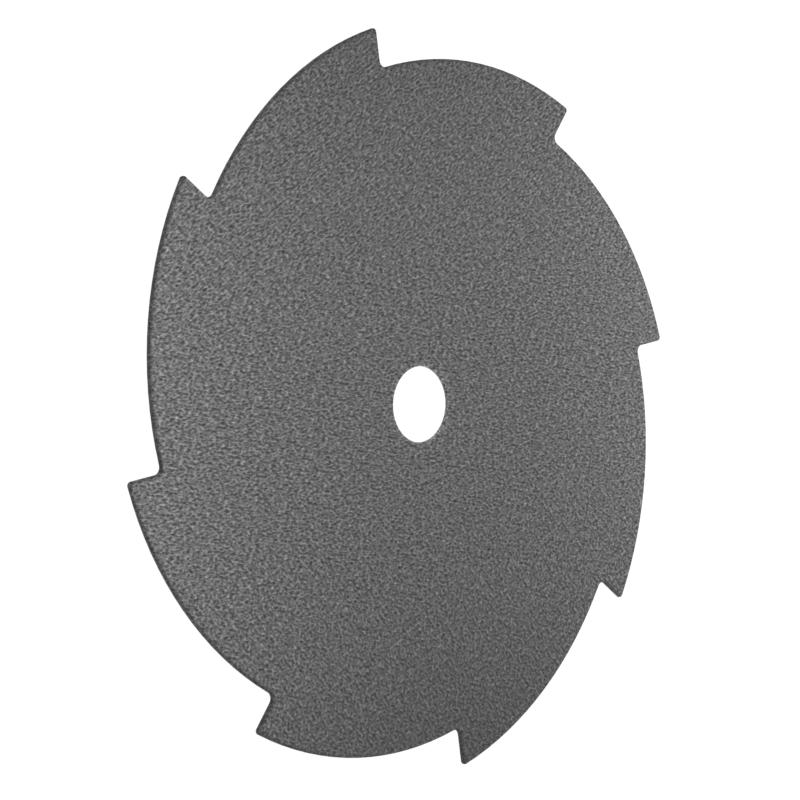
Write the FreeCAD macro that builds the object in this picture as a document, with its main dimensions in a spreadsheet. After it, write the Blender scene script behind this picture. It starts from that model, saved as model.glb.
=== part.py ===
"""Brush cutter blade: a flat sheet-steel disc with hooked saw teeth round its rim and a plain arbor bore.

Millimetres and degrees. The blade lies on its underside at z = 0, and +Z leaves its upper face. The origin is
on the bore's axis. Seen from above, the teeth point clockwise and the first tooth's tip is on +Y.
"""

import FreeCAD, Part
import math
import os
import Sketcher

# Driving dimensions: the spreadsheet's alias, the value and what it measures
SIZES = {
    "tip_diameter": (250.0, "circle through the tooth tips, before they are rounded"),
    "tooth_depth": (13.5, "from the tip circle in to a gullet's corner, before it is rounded"),
    "tooth_count": (8, "teeth round the rim"),
    "relief_angle": (8.0, "between a tooth's back and the tip circle, at the tip"),
    "tip_round": (1.3, "radius of a tooth's tip, seen from above"),
    "gullet_round": (2.3, "radius in a gullet's corner, seen from above"),
    "sheet_thickness": (1.5, "the steel sheet"),
    "bore_diameter": (25.4, "the arbor bore"),
    "rim_edge_round": (0.5, "radius along the toothed outline, on both faces"),
    "bore_chamfer": (0.3, "45 degree edge break along the bore, on both faces"),
}

# How a constraint refers to the points of a line or an arc, and to the sketch's origin
START, END, CENTRE = range(1, 4)
ORIGIN = (-1, START)

TOLERANCE = 1e-5


def write_sheet(doc):
    """The spreadsheet that every feature takes its sizes from."""
    sheet = doc.addObject("Spreadsheet::Sheet", "Sizes")
    for row, (alias, (value, meaning)) in enumerate(SIZES.items(), start=1):
        sheet.set(f"A{row}", meaning)
        sheet.set(f"B{row}", str(value))
        sheet.setAlias(f"B{row}", alias)
    doc.recompute()
    return sheet


def rebuild(doc):
    """Recompute, and stop if any object failed."""
    doc.recompute()
    failed = [o.Name for o in doc.Objects if {"Invalid", "Error"} & set(o.State)]
    if failed:
        raise RuntimeError(f"failed: {', '.join(failed)}")


def origin_feature(body, role):
    """One of the body's own origin planes or axes."""
    return next(feature for feature in body.Origin.OriginFeatures if feature.Role == role)


def new_sketch(body, name):
    """A sketch on the body's XY plane, which holds the blade's underside."""
    sketch = body.newObject("Sketcher::SketchObject", name)
    sketch.AttachmentSupport = [(origin_feature(body, "XY_Plane"), "")]
    sketch.MapMode = "FlatFace"
    return sketch


def dimension(sketch, name, formula, *constraint):
    """Add a named dimension whose value follows a formula on the spreadsheet."""
    index = sketch.addConstraint(Sketcher.Constraint(*constraint))
    sketch.renameConstraint(index, name)
    sketch.setExpression(f"Constraints.{name}", formula)


def add_circle(sketch, name, diameter, formula):
    """A circle about the bore's axis whose diameter follows a formula."""
    outline = Part.Circle(FreeCAD.Vector(), FreeCAD.Vector(0, 0, 1), diameter / 2)
    circle = sketch.addGeometry(outline, False)
    sketch.addConstraint(Sketcher.Constraint("Coincident", circle, CENTRE, *ORIGIN))
    dimension(sketch, name, formula, "Diameter", circle, diameter)


def polar(radius, angle):
    """The point at a radius and an angle in radians, about the bore's axis."""
    return FreeCAD.Vector(radius * math.cos(angle), radius * math.sin(angle), 0)


def arc(centre, first, last):
    """The arc that runs anticlockwise about a centre, from one point to another."""
    circle = Part.Circle(centre, FreeCAD.Vector(0, 0, 1), centre.distanceToPoint(first))
    angles = [math.atan2(end.y - centre.y, end.x - centre.x) for end in (first, last)]
    return Part.ArcOfCircle(circle, *angles)


def back_centre(corner, tip, relief):
    """Centre of the arc that leaves a gullet's corner and meets the next tip at the relief angle."""
    towards_tip = polar(1, math.atan2(tip.y, tip.x) + relief)
    chord = corner - tip
    radius = -chord.dot(chord) / (2 * chord.dot(towards_tip))
    return tip - towards_tip * radius


def draw_notch(body, sheet):
    """The outline of what is cut away between one tooth's face and the next tooth's back.

    The face is radial. The back is one arc, from the gullet's corner to the next tip. The face runs on
    outwards past the blank's edge, and the back runs on for a quarter of a tooth past the next tip, so
    neighbouring notches overlap there and leave a clean tip.
    """
    tip_radius = sheet.tip_diameter / 2
    root_radius = tip_radius - sheet.tooth_depth
    outer_radius = tip_radius + sheet.tooth_depth
    pitch = math.radians(360 / sheet.tooth_count)
    relief = math.radians(sheet.relief_angle)
    face_angle = math.radians(90)
    next_angle = face_angle - pitch
    end_angle = next_angle - pitch / 4

    corner = polar(root_radius, face_angle)
    next_tip = polar(tip_radius, next_angle)
    centre = back_centre(corner, next_tip, relief)
    face_end = polar(outer_radius, face_angle)
    outer_end = polar(outer_radius, end_angle)
    back_end = polar(tip_radius, end_angle)

    sketch = new_sketch(body, "NotchOutline")
    face = sketch.addGeometry(Part.LineSegment(corner, face_end), False)
    back = sketch.addGeometry(arc(centre, back_end, corner), False)
    outer = sketch.addGeometry(arc(FreeCAD.Vector(), outer_end, face_end), False)
    side = sketch.addGeometry(Part.LineSegment(back_end, outer_end), False)
    tip_ray = sketch.addGeometry(Part.LineSegment(FreeCAD.Vector(), next_tip), True)
    arc_ray = sketch.addGeometry(Part.LineSegment(centre, next_tip), True)

    sketch.addConstraint(
        [
            Sketcher.Constraint("Coincident", face, START, back, END),
            Sketcher.Constraint("Coincident", face, END, outer, END),
            Sketcher.Constraint("Coincident", side, START, back, START),
            Sketcher.Constraint("Coincident", side, END, outer, START),
            Sketcher.Constraint("Coincident", outer, CENTRE, *ORIGIN),
            Sketcher.Constraint("Vertical", face),
            Sketcher.Constraint("PointOnObject", *ORIGIN, face),
            Sketcher.Constraint("PointOnObject", *ORIGIN, side),
            Sketcher.Constraint("Coincident", tip_ray, START, *ORIGIN),
            Sketcher.Constraint("Coincident", arc_ray, START, back, CENTRE),
            Sketcher.Constraint("Coincident", arc_ray, END, tip_ray, END),
            Sketcher.Constraint("PointOnObject", tip_ray, END, back),
        ]
    )
    half_tip = "Sizes.tip_diameter / 2"
    turn = "360 deg / Sizes.tooth_count"
    depth = "Sizes.tooth_depth"
    relief_formula = "Sizes.relief_angle * 1 deg"
    dimension(sketch, "tip_radius", half_tip, "Distance", tip_ray, tip_radius)
    dimension(sketch, "root_radius", f"{half_tip} - {depth}", "Distance", *ORIGIN, face, START, root_radius)
    dimension(sketch, "outer_radius", f"{half_tip} + {depth}", "Radius", outer, outer_radius)
    dimension(sketch, "pitch", turn, "Angle", tip_ray, START, face, START, pitch)
    dimension(sketch, "overrun", f"{turn} / 4", "Angle", side, START, tip_ray, START, pitch / 4)
    dimension(sketch, "relief", relief_formula, "Angle", tip_ray, END, arc_ray, END, relief)
    return sketch


def add_blank(doc, body, sheet):
    """The round blank that the teeth are cut from, larger than the tip circle by the depth of a tooth."""
    sketch = new_sketch(body, "BlankOutline")
    diameter = sheet.tip_diameter + sheet.tooth_depth
    add_circle(sketch, "blank_diameter", diameter, "Sizes.tip_diameter + Sizes.tooth_depth")
    blank = body.newObject("PartDesign::Pad", "Blank")
    blank.Profile = sketch
    blank.setExpression("Length", "Sizes.sheet_thickness")
    rebuild(doc)
    return blank


def cut_through(doc, body, name, sketch):
    """Cut a sketch's outline upwards through the whole sheet, and see that it removed something."""
    before = body.Shape.Volume
    cut = body.newObject("PartDesign::Pocket", name)
    cut.Profile = sketch
    cut.Type = "ThroughAll"
    cut.Reversed = True
    rebuild(doc)
    if cut.Shape.Volume >= before:
        raise RuntimeError(f"{name} cut nothing")
    return cut


def add_teeth(doc, body, sheet):
    """Cut one notch and repeat it round the rim."""
    notch = cut_through(doc, body, "Notch", draw_notch(body, sheet))
    teeth = body.newObject("PartDesign::PolarPattern", "Teeth")
    teeth.Originals = [notch]
    teeth.Axis = (origin_feature(body, "Z_Axis"), [""])
    teeth.Angle = 360
    teeth.setExpression("Occurrences", "Sizes.tooth_count")
    body.Tip = teeth
    rebuild(doc)


def add_bore(doc, body, sheet):
    """The plain round bore that sits on the machine's arbor."""
    sketch = new_sketch(body, "BoreOutline")
    add_circle(sketch, "bore_diameter", sheet.bore_diameter, "Sizes.bore_diameter")
    cut_through(doc, body, "ArborBore", sketch)


def upright_edges(shape, radius):
    """Names of the straight edges along Z that stand at a radius."""
    names = []
    for number, edge in enumerate(shape.Edges, start=1):
        if not isinstance(edge.Curve, Part.Line) or abs(edge.Curve.Direction.z) < 1 - TOLERANCE:
            continue
        foot = edge.Vertexes[0].Point
        if abs(math.hypot(foot.x, foot.y) - radius) < TOLERANCE:
            names.append(f"Edge{number}")
    return names


def level_edges(shape, inner, outer):
    """Names of the edges that lie level, all of each one between two radii."""
    names = []
    for number, edge in enumerate(shape.Edges, start=1):
        points = edge.discretize(3)
        radii = [math.hypot(p.x, p.y) for p in points]
        level = max(p.z for p in points) - min(p.z for p in points) < TOLERANCE
        if level and min(radii) > inner and max(radii) < outer:
            names.append(f"Edge{number}")
    return names


def dress_edges(doc, body, kind, name, edges, size, formula):
    """Round or chamfer some edges of the body's last feature, by a size that follows a formula."""
    last = body.Tip
    dressing = body.newObject(f"PartDesign::{kind}", name)
    dressing.Base = (last, edges)
    dressing.setExpression(size, formula)
    rebuild(doc)


def add_rounds(doc, body, sheet):
    """Round the gullets and tips as seen from above, then the rim's edges, and chamfer the bore's edges.

    What is taken off an edge stays within its share of the sheet's thickness, so the two faces' never meet.
    """
    tip_radius = sheet.tip_diameter / 2
    root_radius = tip_radius - sheet.tooth_depth
    bore_radius = sheet.bore_diameter / 2
    past_bore = bore_radius + TOLERANCE
    share = "0.45 * Sizes.sheet_thickness"
    gullets = upright_edges(body.Shape, root_radius)
    dress_edges(doc, body, "Fillet", "GulletRounds", gullets, "Radius", "Sizes.gullet_round")
    tips = upright_edges(body.Shape, tip_radius)
    dress_edges(doc, body, "Fillet", "TipRounds", tips, "Radius", "Sizes.tip_round")
    rim = level_edges(body.Shape, past_bore, tip_radius)
    dress_edges(doc, body, "Fillet", "RimRounds", rim, "Radius", f"min(Sizes.rim_edge_round; {share})")
    bore = level_edges(body.Shape, 0, past_bore)
    dress_edges(doc, body, "Chamfer", "BoreChamfers", bore, "Size", f"min(Sizes.bore_chamfer; {share})")


def make_blade(doc):
    """The whole blade, one solid."""
    sheet = write_sheet(doc)
    body = doc.addObject("PartDesign::Body", "Blade")
    body.Label = "blade"
    add_blank(doc, body, sheet)
    add_teeth(doc, body, sheet)
    add_bore(doc, body, sheet)
    add_rounds(doc, body, sheet)
    if body.Shape.isNull() or not body.Shape.isValid() or len(body.Shape.Solids) != 1:
        raise RuntimeError("the blade isn't one valid solid")
    return body


blade = make_blade(FreeCAD.newDocument("BrushCutterBlade"))
os.makedirs("parts", exist_ok=True)
blade.Shape.exportStep(f"parts/{blade.Label}.step")
print(f"{blade.Label}: {blade.Shape.Volume:.1f} mm3, {len(blade.Shape.Faces)} faces")
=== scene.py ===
"""A brush cutter blade of grey coated sheet steel, lying flat on a white studio floor."""

import math

import bpy
from mathutils import Matrix, Vector

MM = 0.001

# Camera, as the photograph shows the blade: its place, the point it looks at, its roll in degrees,
# its lens and sensor in millimetres, and the nearest and farthest that it sees.
CAMERA_PLACE = (-593.58 * MM, 129.10 * MM, 614.08 * MM)
CAMERA_TARGET = (-9.40 * MM, 3.25 * MM, 1.5 * MM)
CAMERA_ROLL = 91.934
LENS = 116.8
SENSOR = 36.0
CAMERA_CLIP = (0.01, 20.0)

# Floor: it lies a hair under the blade, so that the two faces never coincide. Most of what the
# camera and reflections see of it is an even white. The rest is matt, and keeps the blade's shadow.
FLOOR_GAP = 0.05 * MM
FLOOR_RADIUS = 4.0
FLOOR_CORNERS = 96
FLOOR_COLOUR = 0.85
FLOOR_WHITE_SHARE = 0.84
FLOOR_WHITE_LEVEL = 1.14

# World: its level as a light, and the level at which the camera and reflections see it.
WORLD_LEVEL = 0.3
WORLD_WHITE = 1.0

# Softboxes: name, place, width and power.
SOFTBOXES = (
    ("upper_softbox", (-0.02, 0.24, 0.54), 0.3, 2.25),
    ("lower_softbox", (-0.10, -0.83, 1.12), 0.72, 3.6),
)

# Coating: its mean grey and its mean roughness.
COAT_GREY = 0.111
COAT_ROUGHNESS = 0.45

# Grain: fine cells over coarser clusters, each with its size and how much finer detail it holds,
# and the share of the clusters.
GRAIN_CELL = 0.73 * MM
GRAIN_DETAIL = 0.9
CLUSTER_CELL = 1.6 * MM
CLUSTER_DETAIL = 1.0
CLUSTER_SHARE = 0.22

# Streaks: the grain is drawn out along X, then a little more along a direction that swings. Its
# angles from X, in degrees, are those at Y = SWING_REACH, at Y = 0 and at Y = -SWING_REACH.
# In the tone, the swing of the streaks is painted light: it follows how the light turned the grain's
# shading.
GRAIN_ALONG = 1.4
GRAIN_STRETCH = 1.45
GRAIN_ANGLES = (31.0, -25.0, -68.0)
SWING_REACH = 90.0 * MM

# What the grain does: its height as bump, and its swing in roughness and in tone. The tone is the
# coat's grain, with painted shade darker in its pits and painted light on its peaks. It has a darkest
# value, and is raised to a power, which draws out the bright specks as painted glints.
GRAIN_HEIGHT = 1.35 * MM
GRAIN_ROUGHNESS = -0.4
GRAIN_CONTRAST = 1.65
GRAIN_DARKEST = 0.2
GRAIN_POWER = 3.0

# Unevenness of the coat: blotches. Painted light and shade, over them: a slow change from the middle to
# the sides, to the ends, to the quarters where X and Y have the same sign, and to the +Y end alone.
BLOTCH_CELL = 12.0 * MM
BLOTCH_DETAIL = 3.0
BLOTCH_NOISE = (0.3, 0.7)
BLOTCH_TONE = (0.97, 1.03)
SIDES_PAINTED_LIGHTER = 0.566
ENDS_PAINTED_DARKER = 0.39
QUARTERS_PAINTED_DARKER = 0.13
UPPER_END_PAINTED_LIGHTER = 0.09
BLADE_RADIUS = 125.0 * MM

# Edges: the normal is rounded off over EDGE_WIDTH. How far it then leans out of the vertical tells
# how close an edge is, and the way it leans tells what that edge faces.
EDGE_WIDTH = 2.0 * MM
EDGE_SAMPLES = 8

# Rim: painted shade, darker there where the edge faces toward -X and a little toward +Y. Over each
# range, of the lean and of the facing, the painted shade rises from none to all.
RIM_LEAN = (0.06, 0.3)
RIM_PAINTED_SHADE = 0.72
SHADED_SIDE = (-0.95, 0.30, 0.0)
SHADED_FACING = (-0.35, 0.2)

# Bore: painted light makes its wall lighter, over a range of the lean, and a ring round it, which fades
# out over RING_REACH from the axis. Over BORE_REGION the rim's painted shade takes over from the bore's
# painted light.
WALL_LEAN = (0.2, 0.9)
WALL_PAINTED_LIGHT = 0.8
RING_REACH = (13.5 * MM, 15.5 * MM)
RING_PAINTED_LIGHT = 0.15
BORE_REGION = (40.0 * MM, 60.0 * MM)


def new_material(name):
    """A material with an empty node tree, and the tree."""
    material = bpy.data.materials.new(name)
    material.use_nodes = True
    material.node_tree.nodes.clear()
    return material, material.node_tree


def add_node(tree, kind, label, **settings):
    """A node of that kind, with its properties set."""
    node = tree.nodes.new(kind)
    node.label = label
    for name, value in settings.items():
        setattr(node, name, value)
    return node


def noise(tree, label, place, cell, detail):
    """Fractal noise with features of about that cell size, from 0 to 1 round 0.5."""
    node = add_node(tree, "ShaderNodeTexNoise", label)
    node.inputs["Scale"].default_value = 1.0 / cell
    node.inputs["Detail"].default_value = detail
    tree.links.new(place, node.inputs["Vector"])
    return node.outputs["Fac"]


def remap(tree, label, value, low, high, new_low, new_high):
    """The value's range low to high, carried over to new_low to new_high."""
    node = add_node(tree, "ShaderNodeMapRange", label, clamp=False)
    node.inputs["From Min"].default_value = low
    node.inputs["From Max"].default_value = high
    node.inputs["To Min"].default_value = new_low
    node.inputs["To Max"].default_value = new_high
    tree.links.new(value, node.inputs["Value"])
    return node.outputs["Result"]


def math_node(tree, label, operation, *values):
    """A Math node on links or plain numbers."""
    node = add_node(tree, "ShaderNodeMath", label, operation=operation)
    for socket, value in zip(node.inputs, values):
        if isinstance(value, (int, float)):
            socket.default_value = value
        else:
            tree.links.new(value, socket)
    return node.outputs["Value"]


def vector_node(tree, label, operation, vector, factors=None):
    """A Vector Math node on a linked vector, and on three plain numbers where they are given."""
    node = add_node(tree, "ShaderNodeVectorMath", label, operation=operation)
    tree.links.new(vector, node.inputs[0])
    if factors:
        node.inputs[1].default_value = factors
    return node


def mapped(tree, label, place, stretch, turn=0.0):
    """The place with X shortened, so that what is drawn there comes out longer along X, then turned."""
    node = add_node(tree, "ShaderNodeMapping", label)
    node.inputs["Scale"].default_value = (1.0 / stretch, 1.0, 1.0)
    node.inputs["Rotation"].default_value = (0.0, 0.0, math.radians(turn))
    tree.links.new(place, node.inputs["Vector"])
    return node.outputs["Vector"]


def clamped(tree, label, value, low, high):
    """The value kept from low to high."""
    raised = math_node(tree, label + " low end", "MAXIMUM", value, low)
    return math_node(tree, label + " high end", "MINIMUM", raised, high)


def ramp(tree, label, value, low, high):
    """0 up to low and 1 from high on, with a straight rise between them."""
    rise = remap(tree, label + " rise", value, low, high, 0.0, 1.0)
    return clamped(tree, label, rise, 0.0, 1.0)


def axes(tree, label, vector):
    """The X and Y parts of a vector."""
    split = add_node(tree, "ShaderNodeSeparateXYZ", label)
    tree.links.new(vector, split.inputs["Vector"])
    return split.outputs["X"], split.outputs["Y"]


def streaked_grain(tree, label, place, angle):
    """Fine noise round 0, drawn out along that angle, over coarser clusters of it."""
    turned = mapped(tree, label + " turn", place, GRAIN_ALONG, -angle)
    drawn = mapped(tree, label + " stretch", turned, GRAIN_STRETCH)
    fine = noise(tree, label, drawn, GRAIN_CELL, GRAIN_DETAIL)
    clusters = noise(tree, label + " clusters", drawn, CLUSTER_CELL, CLUSTER_DETAIL)
    total = math_node(tree, label + " sum", "MULTIPLY_ADD", clusters, CLUSTER_SHARE, fine)
    return math_node(tree, label + " round 0", "SUBTRACT", total, 0.5 * (1.0 + CLUSTER_SHARE))


def grain(tree, place):
    """The grain over the whole sheet: three directions that take over from each other along Y."""
    quarter = 0.5 * math.pi
    across = axes(tree, "place in grain", place)[1]
    along = math_node(tree, "quarter turns along Y", "MULTIPLY", across, quarter / SWING_REACH)
    # The turn of the streaks along Y is painted light in the tone.
    upper, middle, lower = GRAIN_ANGLES
    total = 0.0
    for label, angle, wave, low, high, sign in (
        ("upper grain", upper, "SINE", 0.0, quarter, 1.0),
        ("middle grain", middle, "COSINE", -quarter, quarter, 1.0),
        ("lower grain", lower, "SINE", -quarter, 0.0, -1.0),
    ):
        phase = clamped(tree, label, along, low, high)
        weight = math_node(tree, label + " weight", wave, phase)
        signed = math_node(tree, label + " sign", "MULTIPLY", weight, sign)
        value = streaked_grain(tree, label, place, angle)
        total = math_node(tree, label + " added", "MULTIPLY_ADD", signed, value, total)
    return total


def grain_tone_and_painted_shade(tree, relief):
    """Round 1: the grain's tone, with painted light where it stands high and painted shade in its pits.
    """
    # Painted shade in the pits and painted light on the peaks, over the grain's own tone.
    contrast = math_node(tree, "grain contrast", "MULTIPLY_ADD", relief, GRAIN_CONTRAST, 1.0)
    limited = math_node(tree, "grain limit", "MAXIMUM", contrast, GRAIN_DARKEST)
    # The power draws out bright specks: painted glints.
    return math_node(tree, "grain tone and painted shade", "POWER", limited, GRAIN_POWER)


def blotches_and_painted_light(tree, place):
    """Round 1: faint blotches of the coat, over painted light and shade that changes slowly across the
    blade.
    """
    blotches = noise(tree, "blotches", place, BLOTCH_CELL, BLOTCH_DETAIL)
    tone = remap(tree, "blotch tone", blotches, *BLOTCH_NOISE, *BLOTCH_TONE)
    in_radii = vector_node(tree, "place in radii", "SCALE", place)
    in_radii.inputs["Scale"].default_value = 1.0 / BLADE_RADIUS
    x, y = axes(tree, "place on blade", in_radii.outputs["Vector"])
    # Painted light and shade: lighter sides, darker ends, and darker quarters where X and Y share a
    # sign.
    for label, first, second, change in (
        ("sides", x, x, SIDES_PAINTED_LIGHTER),
        ("ends", y, y, -ENDS_PAINTED_DARKER),
        ("quarters", x, y, -QUARTERS_PAINTED_DARKER),
    ):
        reach = math_node(tree, label + " reach", "MULTIPLY", first, second)
        tone = math_node(tree, label + " tone", "MULTIPLY_ADD", reach, change, tone)
    # Painted light: the +Y end lighter.
    return math_node(tree, "painted light on upper end", "MULTIPLY_ADD", y, UPPER_END_PAINTED_LIGHTER, tone)


def edge_lean(tree):
    """How far the normal, rounded off near edges, leans out of the vertical, and which way."""
    rounded = add_node(tree, "ShaderNodeBevel", "rounded normal", samples=EDGE_SAMPLES)
    rounded.inputs["Radius"].default_value = EDGE_WIDTH
    in_part = add_node(
        tree, "ShaderNodeVectorTransform", "into part frame",
        vector_type="NORMAL", convert_from="WORLD", convert_to="OBJECT",
    )
    tree.links.new(rounded.outputs["Normal"], in_part.inputs["Vector"])
    flat = vector_node(tree, "in plane", "MULTIPLY", in_part.outputs["Vector"], (1.0, 1.0, 0.0))
    lean = vector_node(tree, "lean", "LENGTH", flat.outputs["Vector"])
    way = vector_node(tree, "way it leans", "NORMALIZE", flat.outputs["Vector"])
    return lean.outputs["Value"], way.outputs["Vector"]


def painted_rim_shade(tree, lean, way):
    """Round 1: painted shade along the part of the rim that faces the shaded side."""
    facing = vector_node(tree, "faces the shaded side", "DOT_PRODUCT", way, SHADED_SIDE)
    share = ramp(tree, "painted shade share", facing.outputs["Value"], *SHADED_FACING)
    band = ramp(tree, "rim band", lean, *RIM_LEAN)
    # Painted shade: how much darker the rim is here.
    dark = math_node(tree, "painted shade band", "MULTIPLY", share, band)
    return math_node(tree, "painted rim shade", "MULTIPLY_ADD", dark, -RIM_PAINTED_SHADE, 1.0)


def painted_bore_light(tree, lean, reach):
    """Round 1: painted light, lighter on the bore's wall and in the ring round it."""
    wall = ramp(tree, "bore wall", lean, *WALL_LEAN)
    # Painted light on the bore's wall and on the ring round it.
    lit = math_node(tree, "painted light on bore wall", "MULTIPLY_ADD", wall, WALL_PAINTED_LIGHT, 1.0 + RING_PAINTED_LIGHT)
    past_ring = ramp(tree, "past the ring", reach, *RING_REACH)
    return math_node(tree, "painted bore light", "MULTIPLY_ADD", past_ring, -RING_PAINTED_LIGHT, lit)


def painted_edge_light_and_shade(tree, place):
    """The bore's painted light near the axis and the rim's painted shade farther out."""
    lean, way = edge_lean(tree)
    reach = vector_node(tree, "distance from axis", "LENGTH", place).outputs["Value"]
    rim = painted_rim_shade(tree, lean, way)
    bore = painted_bore_light(tree, lean, reach)
    at_rim = ramp(tree, "rim, not bore", reach, *BORE_REGION)
    gap = math_node(tree, "rim less bore", "SUBTRACT", rim, bore)
    return math_node(tree, "painted edge light and shade", "MULTIPLY_ADD", at_rim, gap, bore)


def coat_colour_and_painted_light(tree, place, relief):
    """The coat's grey: its mean, times the tones of the grain, of the unevenness and of the edges,
    which carry painted light and shade.
    """
    coat = math_node(
        tree, "coat tone and painted light", "MULTIPLY", grain_tone_and_painted_shade(tree, relief), blotches_and_painted_light(tree, place)
    )
    # Times the painted light and shade at the bore and the rim.
    tone = math_node(tree, "tone", "MULTIPLY", coat, painted_edge_light_and_shade(tree, place))
    return math_node(tree, "grey", "MULTIPLY", tone, COAT_GREY)


def coated_steel():
    """Grey textured coating: one drawn-out grain in its bump, roughness and colour, with painted light
    and shade in the colour.
    """
    material, tree = new_material("coated_steel")
    place = add_node(tree, "ShaderNodeTexCoord", "part frame").outputs["Object"]
    relief = grain(tree, place)
    colour = coat_colour_and_painted_light(tree, place, relief)
    roughness = math_node(tree, "roughness", "MULTIPLY_ADD", relief, GRAIN_ROUGHNESS, COAT_ROUGHNESS)

    bump = add_node(tree, "ShaderNodeBump", "grain bump")
    bump.inputs["Strength"].default_value = 1.0
    bump.inputs["Distance"].default_value = GRAIN_HEIGHT
    tree.links.new(relief, bump.inputs["Height"])

    shader = add_node(tree, "ShaderNodeBsdfPrincipled", "coating")
    tree.links.new(colour, shader.inputs["Base Color"])
    tree.links.new(roughness, shader.inputs["Roughness"])
    tree.links.new(bump.outputs["Normal"], shader.inputs["Normal"])
    output = add_node(tree, "ShaderNodeOutputMaterial", "surface")
    tree.links.new(shader.outputs["BSDF"], output.inputs["Surface"])
    return material


def background_rays(tree):
    """1 for rays that should find a white background: camera, glossy and transmission rays."""
    rays = add_node(tree, "ShaderNodeLightPath", "ray kinds").outputs
    either = math_node(
        tree, "camera or glossy", "MAXIMUM", rays["Is Camera Ray"], rays["Is Glossy Ray"]
    )
    return math_node(tree, "or transmission", "MAXIMUM", either, rays["Is Transmission Ray"])


def floor_material():
    """Pale matt floor that the camera sees as white, with the blade's shadow left faintly on it."""
    material, tree = new_material("studio_floor")
    matt = add_node(tree, "ShaderNodeBsdfDiffuse", "matt")
    matt.inputs["Color"].default_value = (FLOOR_COLOUR, FLOOR_COLOUR, FLOOR_COLOUR, 1.0)
    white = add_node(tree, "ShaderNodeEmission", "white")
    white.inputs["Strength"].default_value = FLOOR_WHITE_LEVEL
    share = math_node(
        tree, "share of white", "MULTIPLY", background_rays(tree), FLOOR_WHITE_SHARE
    )
    mix = add_node(tree, "ShaderNodeMixShader", "floor")
    tree.links.new(share, mix.inputs["Fac"])
    tree.links.new(matt.outputs["BSDF"], mix.inputs[1])
    tree.links.new(white.outputs["Emission"], mix.inputs[2])
    output = add_node(tree, "ShaderNodeOutputMaterial", "surface")
    tree.links.new(mix.outputs["Shader"], output.inputs["Surface"])
    return material


def add_floor():
    """A wide round floor just under the blade."""
    bpy.ops.mesh.primitive_circle_add(
        vertices=FLOOR_CORNERS, radius=FLOOR_RADIUS, fill_type="NGON", location=(0, 0, -FLOOR_GAP)
    )
    floor = bpy.context.object
    floor.name = "studio_floor"
    floor.data.materials.append(floor_material())


def add_world():
    """Mild even light from all round, white where the camera looks at it."""
    world = bpy.data.worlds.new("studio")
    bpy.context.scene.world = world
    world.use_nodes = True
    tree = world.node_tree
    tree.nodes.clear()
    level = remap(tree, "level", background_rays(tree), 0.0, 1.0, WORLD_LEVEL, WORLD_WHITE)
    background = add_node(tree, "ShaderNodeBackground", "background")
    tree.links.new(level, background.inputs["Strength"])
    output = add_node(tree, "ShaderNodeOutputWorld", "world")
    tree.links.new(background.outputs["Background"], output.inputs["Surface"])


def add_softbox(name, place, width, watts):
    """A square soft light at that place, turned to the middle of the blade."""
    data = bpy.data.lights.new(name, "AREA")
    data.shape = "SQUARE"
    data.size = width
    data.energy = watts
    lamp = bpy.data.objects.new(name, data)
    bpy.context.scene.collection.objects.link(lamp)
    aimed = (-Vector(place)).to_track_quat("-Z", "Y").to_matrix().to_4x4()
    lamp.matrix_world = Matrix.Translation(place) @ aimed


def add_lights():
    """Two softboxes over the blade: a near one over its +Y end and a far one over its -Y end."""
    for softbox in SOFTBOXES:
        add_softbox(*softbox)


def add_camera():
    """The camera at the photograph's viewing angle."""
    data = bpy.data.cameras.new("camera")
    data.lens = LENS
    data.sensor_width = SENSOR
    data.sensor_fit = "HORIZONTAL"
    data.clip_start, data.clip_end = CAMERA_CLIP
    camera = bpy.data.objects.new("camera", data)
    bpy.context.scene.collection.objects.link(camera)
    backward = Vector(CAMERA_PLACE) - Vector(CAMERA_TARGET)
    aimed = backward.to_track_quat("Z", "Y").to_matrix().to_4x4()
    rolled = aimed @ Matrix.Rotation(math.radians(CAMERA_ROLL), 4, "Z")
    camera.matrix_world = Matrix.Translation(CAMERA_PLACE) @ rolled
    bpy.context.scene.camera = camera


def dress(node, material):
    """Puts the material into every slot of a CAD node."""
    if not node.data.materials:
        node.data.materials.append(material)
    for slot in range(len(node.data.materials)):
        node.data.materials[slot] = material


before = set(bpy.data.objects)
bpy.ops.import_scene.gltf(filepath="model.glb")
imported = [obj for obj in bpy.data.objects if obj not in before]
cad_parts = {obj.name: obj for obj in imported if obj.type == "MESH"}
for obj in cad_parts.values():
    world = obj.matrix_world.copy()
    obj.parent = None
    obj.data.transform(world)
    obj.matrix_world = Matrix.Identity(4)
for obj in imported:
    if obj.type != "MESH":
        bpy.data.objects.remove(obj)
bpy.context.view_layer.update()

dress(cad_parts["blade"], coated_steel())
add_floor()
add_world()
add_lights()
add_camera()
bpy.context.scene.view_settings.view_transform = "Standard"
